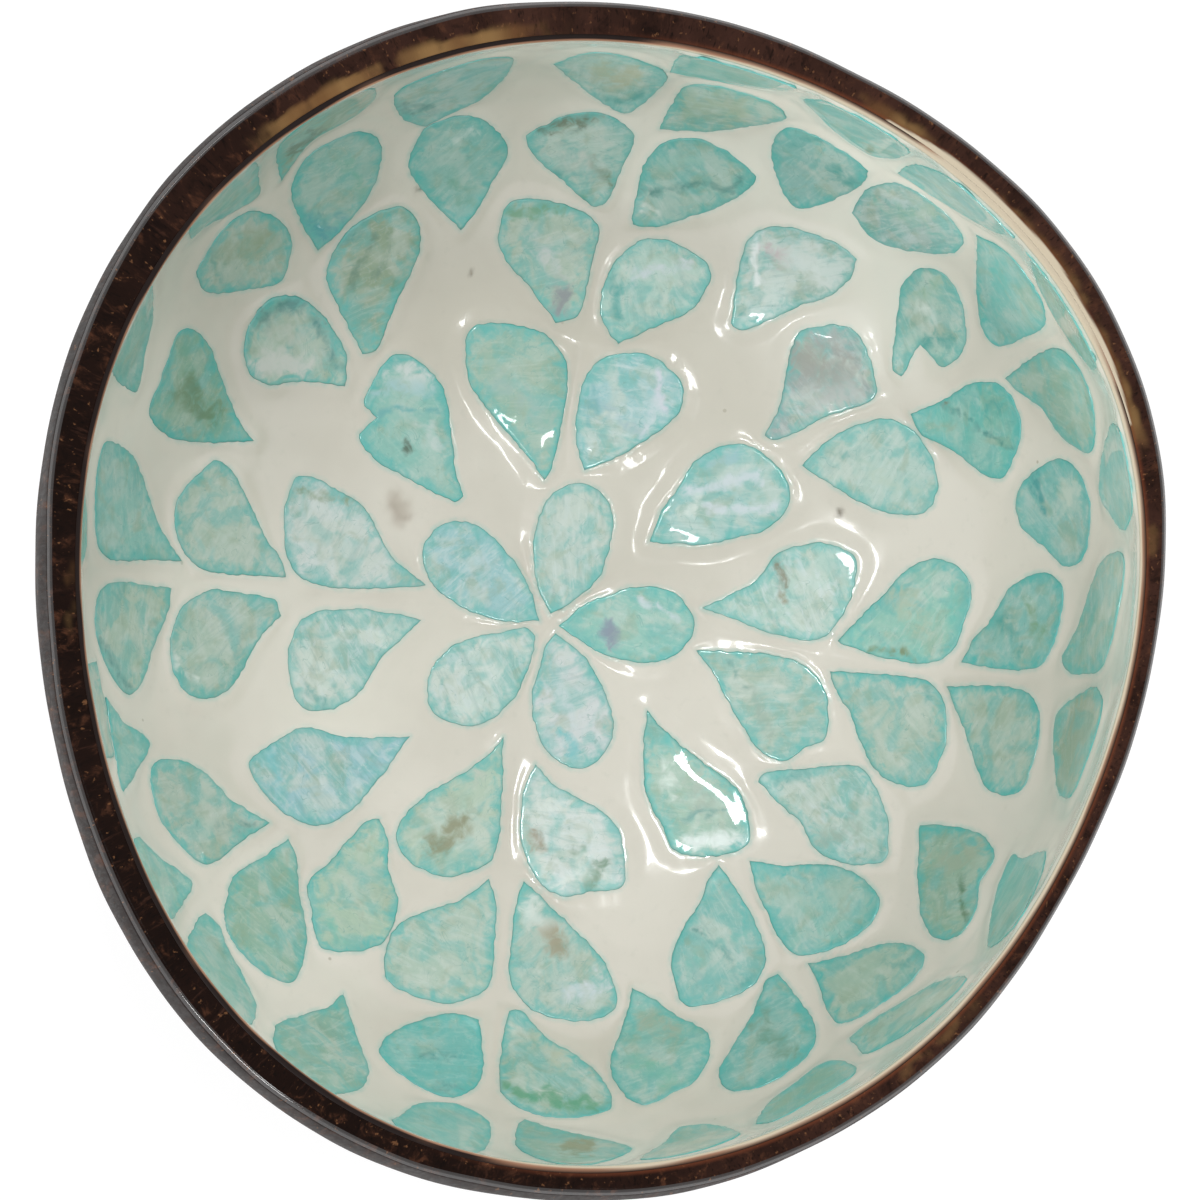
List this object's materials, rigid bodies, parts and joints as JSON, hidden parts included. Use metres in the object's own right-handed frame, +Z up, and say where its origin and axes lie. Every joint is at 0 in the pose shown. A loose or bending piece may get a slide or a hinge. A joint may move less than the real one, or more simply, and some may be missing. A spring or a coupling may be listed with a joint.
{
  "type": "coconut shell bowl",
  "caption": "Round-bottomed bowl made from a coconut half shell, lined with cream lacquer and inlaid with a mother-of-pearl flower and leaves.",
  "frame": {"origin": "centre of the flat foot, on the surface that the bowl stands on", "axes": "+Z up out of the mouth, +X towards the right and +Y towards the top of the bowl as it is seen from above"},
  "size_m": [0.1367, 0.1446, 0.062],
  "materials": {
    "coconut_shell": "polished coconut shell under clear lacquer",
    "lacquer": "glossy cream lacquer",
    "mother_of_pearl": "dyed mother-of-pearl under glossy clear lacquer"
  },
  "bodies": {
    "root": {"coconut_shell": "coconut_shell", "lacquer_lining": "lacquer", "flower_petal_1": "mother_of_pearl", "flower_petal_2": "mother_of_pearl", "flower_petal_3": "mother_of_pearl", "flower_petal_4": "mother_of_pearl", "flower_petal_5": "mother_of_pearl", "west_leaves_1": "mother_of_pearl", "west_leaves_2": "mother_of_pearl", "west_leaves_3": "mother_of_pearl", "west_leaves_4": "mother_of_pearl", "lower_west_leaves_1": "mother_of_pearl", "lower_west_leaves_2": "mother_of_pearl", "south_west_leaves_1": "mother_of_pearl", "south_west_leaves_2": "mother_of_pearl", "south_leaves_1": "mother_of_pearl", "south_leaves_2": "mother_of_pearl", "south_leaves_3": "mother_of_pearl", "south_leaves_4": "mother_of_pearl", "south_east_leaves_1": "mother_of_pearl", "south_east_leaves_2": "mother_of_pearl", "south_east_leaves_3": "mother_of_pearl", "south_east_leaves_4": "mother_of_pearl", "south_east_leaves_5": "mother_of_pearl", "south_east_leaves_6": "mother_of_pearl", "east_leaves_1": "mother_of_pearl", "east_leaves_2": "mother_of_pearl", "east_leaves_3": "mother_of_pearl", "east_leaves_4": "mother_of_pearl", "upper_east_leaves_1": "mother_of_pearl", "upper_east_leaves_2": "mother_of_pearl", "upper_east_leaves_3": "mother_of_pearl", "upper_east_leaves_4": "mother_of_pearl", "upper_east_leaves_5": "mother_of_pearl", "north_east_leaves_1": "mother_of_pearl", "north_east_leaves_2": "mother_of_pearl", "north_east_leaves_3": "mother_of_pearl", "north_leaves_1": "mother_of_pearl", "north_leaves_2": "mother_of_pearl", "north_leaves_3": "mother_of_pearl", "north_leaves_4": "mother_of_pearl", "north_leaves_5": "mother_of_pearl", "north_west_leaves_1": "mother_of_pearl", "north_west_leaves_2": "mother_of_pearl", "north_west_leaves_3": "mother_of_pearl", "north_west_leaves_4": "mother_of_pearl", "north_west_leaves_5": "mother_of_pearl", "north_west_leaves_6": "mother_of_pearl"}
  },
  "joints": []
}
